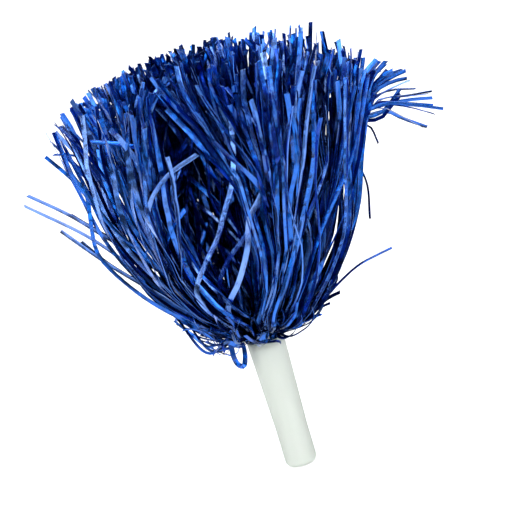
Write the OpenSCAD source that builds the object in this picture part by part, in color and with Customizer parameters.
// Handheld cheer pom pom: a moulded tube handle with slit-film streamers held in its mouth.
// The handle axis is Z. The origin is the centre of the handle's flat butt.
// Right is +X and back is +Y.

/* [Handle] */
// Length of the handle from butt to rim
handle_len = 98; // [85:1:120]
// Outside radius of the straight grip, next to the butt
grip_r = 11.5; // [11:0.1:12.5]
// Length of the straight grip above the rounded butt edge
grip_len = 24; // [22:1:38]
// Outside radius at the rim
rim_r = 13.7; // [13.2:0.1:13.9]
// Wall thickness of the handle
wall_t = 1.5; // [1:0.1:1.8]
// Thickness of the closed butt
butt_t = 2.4; // [1.5:0.1:4]
// Radius of the rounded edge of the butt
butt_round = 4; // [3:0.1:5]

/* [Streamers] */
// Width of one streamer
strip_w = 3.4; // [2:0.1:3.6]
// Thickness of one modelled streamer, a stand-in for a few films lying together
strip_t = 1; // [0.8:0.1:1.2]
// Usual length of a streamer from the rim to its cut tip
strip_len = 208; // [180:1:215]
// Share by which streamer lengths differ
ragged = 0.07; // [0:0.01:0.08]
// Distance over which the outer streamers keep their outward heading before they bend up
hold = 38; // [30:1:42]
// Direction of the outer streamers at their tips, from the handle axis
outer_lean = 4; // [2:1:8]
// How much further the streamers lean on the right, and how much less on the left
side_lean = 7; // [0:1:8]
// Direction of the inner streamers at their tips, from the handle axis
inner_lean = 5; // [4:1:8]
// Direction of the stray streamers on the right at their tips, from the handle axis
stray_right = 38; // [30:1:44]
// Direction of the stray streamers on the left at their tips, from the handle axis
stray_left = 29; // [24:1:38]
// Length of the stray streamers
stray_len = 186; // [170:1:195]

/* [Binding] */
// Diameter of the binding wire
wire_d = 1.2; // [1:0.1:1.4]
// Height of the wire tie above the butt
tie_z = 48; // [46:1:50]

/* [Hidden] */
$fn = 64;
gap = 0.2;
flare_z = butt_round + grip_len;  // where the straight grip ends
lip_round = 0.7;
inner_round = 2;                  // inside corner at the closed butt

neck_r = 8.1;                     // neck of folded streamers under the wire
wire_mid_r = neck_r + gap + wire_d / 2;
turn_offset = 0.9;                // each turn of wire from the middle of the tie

glue_z = 17;
glue_len = 19.5;
dish_depth = 2;
top_dish_r = 23;
bottom_dish_r = 16;

steps = 14;                       // straight pieces along one streamer
sectors = 8;                      // tufts in each ring
root_r = 15.6;                    // hinge line of an outer tuft, just outside the rim
root_z = handle_len + 3;
core_r = 8.2;                     // hinge line of an inner tuft
core_z = handle_len + 7;
outer_header = [2.4, 10.6, 2.2];  // header bars: outward, across, up
inner_header = [2, 4.6, 2];
crown_z = handle_len + 5.2;
crown_len = strip_len - 14;
crown_bend = 30;

film = [0.05, 0.16, 0.55];
film_deep = [0.03, 0.10, 0.38];

NODES = [
    "handle_tube", "folded_neck", "binding_wire", "glue_plug", "crown_streamers",
    "outer_streamers_right", "outer_streamers_back_right", "outer_streamers_back",
    "outer_streamers_back_left", "outer_streamers_left", "outer_streamers_front_left",
    "outer_streamers_front", "outer_streamers_front_right",
    "inner_streamers_right", "inner_streamers_back_right", "inner_streamers_back",
    "inner_streamers_back_left", "inner_streamers_left", "inner_streamers_front_left",
    "inner_streamers_front", "inner_streamers_front_right"
];
node = "all";

// inside radius of the handle at height z: straight grip, then a slow flare to the rim
function bore(z) =
    grip_r + (rim_r - grip_r) * max(0, z - flare_z) / (handle_len - flare_z) - wall_t;

function arc(x, y, radius, angles) =
    [for (a = angles) [x + radius * cos(a), y + radius * sin(a)]];

// a repeatable share from 0 to 1, and a factor within 1 +- by, for one item number
function share(item) = rands(0, 1, 1, 700 + item)[0];
function vary(item, by) = 1 + by * (2 * share(item) - 1);

function azimuth(sector) = 360 / sectors * sector;

// direction from the handle axis at a distance along a streamer, half turned at distance bend
function lean(distance, root, tip, bend) = tip + (root - tip) / (1 + pow(distance / bend, 1.5));

// centre line of a streamer in its own (outward, up) plane, from its root at [0, 0]
function centre(i, length, root, tip, bend) =
    i == 0 ? [0, 0]
           : let (a = lean((i - 0.5) * length / steps, root, tip, bend))
             centre(i - 1, length, root, tip, bend) + length / steps * [sin(a), cos(a)];

// the same, moved sideways by offset
function edge(i, length, root, tip, bend, offset) =
    let (a = lean(i * length / steps, root, tip, bend))
    centre(i, length, root, tip, bend) + offset * [cos(a), -sin(a)];

// one streamer: a thin ribbon that bends in the plane of its own azimuth
// root, tip: direction from the axis at each end
module streamer(length, root, tip, bend) {
    rotate([90, 0, 0]) linear_extrude(strip_w, center = true) polygon(concat(
        [for (i = [0:steps]) edge(i, length, root, tip, bend, strip_t / 2)],
        [for (i = [steps:-1:0]) edge(i, length, root, tip, bend, -strip_t / 2)]));
}

// place k in a fan, counted from its middle
module fanned(k, pitch, turn) {
    translate([0, pitch * k, 0]) rotate([0, 0, turn * k]) children();
}

// one layer of an outer tuft; items: first item numbers for length, root and tip
module outer_layer(sector, places, length, root, tip, bend, items) {
    for (k = places) {
        item = 10 * sector + k;
        fanned(k, pitch = 1.9, turn = 7)
            streamer(length * vary(items[0] + item, ragged),
                     root + 6 * share(items[1] + item),
                     tip * vary(items[2] + item, 0.22), bend);
    }
}

// outer tuft: a slit film sheet, its uncut header bar at the rim and its streamers fanned out
module outer_tuft(sector, stray = 0) {
    to_right = cos(azimuth(sector));
    tip = outer_lean + side_lean * to_right;
    bend = hold * (1 - 0.12 * to_right);
    color(film) rotate([0, 0, azimuth(sector)]) translate([root_r, 0, root_z]) union() {
        cube(outer_header, center = true);
        // lower layer, then upper layer
        outer_layer(sector, [-2:2], strip_len, root = 80, tip = tip, bend = bend,
                    items = [0, 90, 200]);
        outer_layer(sector, [-1.5:1.5], strip_len - 2, root = 64, tip = tip - 2, bend = bend - 6,
                    items = [800, 850, 900]);
        if (stray > 0)
            for (k = [-1, 1])
                fanned(k, pitch = 1.2, turn = 3)
                    streamer(stray_len * vary(300 + sector + k, 0.03),
                             root = 88, tip = stray + 2 * k, bend = 0.7 * hold);
    }
}

// inner tuft: a header bar and one layer, closer to the axis and steeper
module inner_tuft(sector) {
    tip = inner_lean + 0.25 * side_lean * cos(azimuth(sector));
    color(film_deep) rotate([0, 0, azimuth(sector)]) translate([core_r, 0, core_z]) union() {
        cube(inner_header, center = true);
        for (k = [-1:0.5:1]) {
            item = 10 * sector + 2 * k;
            fanned(k, pitch = 0.7, turn = 9)
                streamer((strip_len - 12) * vary(400 + item, ragged), root = 40 + 12 * abs(k),
                         tip = tip * vary(500 + item, 0.3), bend = 0.55 * hold);
        }
    }
}

module handle_tube() {
    color([0.9, 0.93, 0.9]) rotate_extrude() polygon(concat(
        [[0, 0]],
        arc(grip_r - butt_round, butt_round, butt_round, [-90:15:0]),
        [[grip_r, flare_z], [rim_r, handle_len - lip_round]],
        arc(rim_r - lip_round, handle_len - lip_round, lip_round, [30:30:150]),
        [[rim_r - wall_t, handle_len - 1], [bore(flare_z), flare_z]],
        arc(bore(0) - inner_round, butt_t + inner_round, inner_round, [0:-15:-90]),
        [[0, butt_t]]));
}

// the streamers' folded middles, packed in the bore and spilling over the rim as a low cap
module folded_neck() {
    base = tie_z - 9;
    rim = handle_len;
    packed_r = bore(rim) - gap;
    color(film_deep) difference() {
        // [radius, height], up the outside
        rotate_extrude() polygon([
            [0, base], [5, base + 0.6], [8, base + 2.6], [8.6, base + 5],
            [neck_r, tie_z - 2.4], [neck_r, tie_z + 2.4],
            [9.4, tie_z + 6], [bore(tie_z + 12) - gap, tie_z + 12],
            [packed_r, rim - 1], [packed_r, rim + 0.3], [13.1, rim + 0.5], [13.3, rim + 1.3],
            [12, rim + 2.2], [8, rim + 4], [4, rim + 4.8], [0, rim + 5]]);
        // room for the wire's twisted end in the side of the neck
        translate([neck_r + 0.7, 0, tie_z + 4]) rotate([0, -14, 0])
            cylinder(r = wire_d + 0.25, h = 13, center = true);
    }
}

// two turns of wire round the neck, joined by their twisted end
module binding_wire() {
    color([0.75, 0.76, 0.78]) union() {
        for (side = [-1, 1]) translate([0, 0, tie_z + turn_offset * side])
            rotate_extrude() translate([wire_mid_r, 0]) circle(d = wire_d);
        translate([wire_mid_r, 0, tie_z - turn_offset]) cylinder(r = wire_d * 0.62, h = 7.4);
    }
}

// cooled hot-melt glue under the folded streamers, dished at both ends
module glue_plug() {
    color([0.93, 0.91, 0.8]) difference() {
        translate([0, 0, glue_z]) cylinder(r = bore(glue_z) - 0.05, h = glue_len);
        translate([0, 0, glue_z + glue_len + top_dish_r - dish_depth]) sphere(r = top_dish_r);
        translate([0, 0, glue_z - bottom_dish_r + dish_depth]) sphere(r = bottom_dish_r);
    }
}

// centre streamers, standing nearly straight up: one on the axis and eight round it
module crown_streamers() {
    color(film) translate([0, 0, crown_z]) union() {
        cylinder(r = 4.4, h = 2);
        translate([0, 0, 1]) {
            streamer(crown_len * vary(600, ragged), root = 3, tip = 2, bend = crown_bend);
            for (k = [0:7]) rotate([0, 0, 45 * k + 22.5]) translate([2, 0, 0])
                streamer(crown_len * vary(601 + k, ragged),
                         root = 12 + 3 * (k % 2), tip = 3 + 2 * (k % 2), bend = crown_bend);
        }
    }
}

module outer_streamers_right() outer_tuft(0, stray_right);
module outer_streamers_back_right() outer_tuft(1);
module outer_streamers_back() outer_tuft(2);
module outer_streamers_back_left() outer_tuft(3);
module outer_streamers_left() outer_tuft(4, stray_left);
module outer_streamers_front_left() outer_tuft(5);
module outer_streamers_front() outer_tuft(6);
module outer_streamers_front_right() outer_tuft(7);
module inner_streamers_right() inner_tuft(0);
module inner_streamers_back_right() inner_tuft(1);
module inner_streamers_back() inner_tuft(2);
module inner_streamers_back_left() inner_tuft(3);
module inner_streamers_left() inner_tuft(4);
module inner_streamers_front_left() inner_tuft(5);
module inner_streamers_front() inner_tuft(6);
module inner_streamers_front_right() inner_tuft(7);

function on(name) = node == "all" || node == name;

if (on("handle_tube")) handle_tube();
if (on("folded_neck")) folded_neck();
if (on("binding_wire")) binding_wire();
if (on("glue_plug")) glue_plug();
if (on("crown_streamers")) crown_streamers();
if (on("outer_streamers_right")) outer_streamers_right();
if (on("outer_streamers_back_right")) outer_streamers_back_right();
if (on("outer_streamers_back")) outer_streamers_back();
if (on("outer_streamers_back_left")) outer_streamers_back_left();
if (on("outer_streamers_left")) outer_streamers_left();
if (on("outer_streamers_front_left")) outer_streamers_front_left();
if (on("outer_streamers_front")) outer_streamers_front();
if (on("outer_streamers_front_right")) outer_streamers_front_right();
if (on("inner_streamers_right")) inner_streamers_right();
if (on("inner_streamers_back_right")) inner_streamers_back_right();
if (on("inner_streamers_back")) inner_streamers_back();
if (on("inner_streamers_back_left")) inner_streamers_back_left();
if (on("inner_streamers_left")) inner_streamers_left();
if (on("inner_streamers_front_left")) inner_streamers_front_left();
if (on("inner_streamers_front")) inner_streamers_front();
if (on("inner_streamers_front_right")) inner_streamers_front_right();
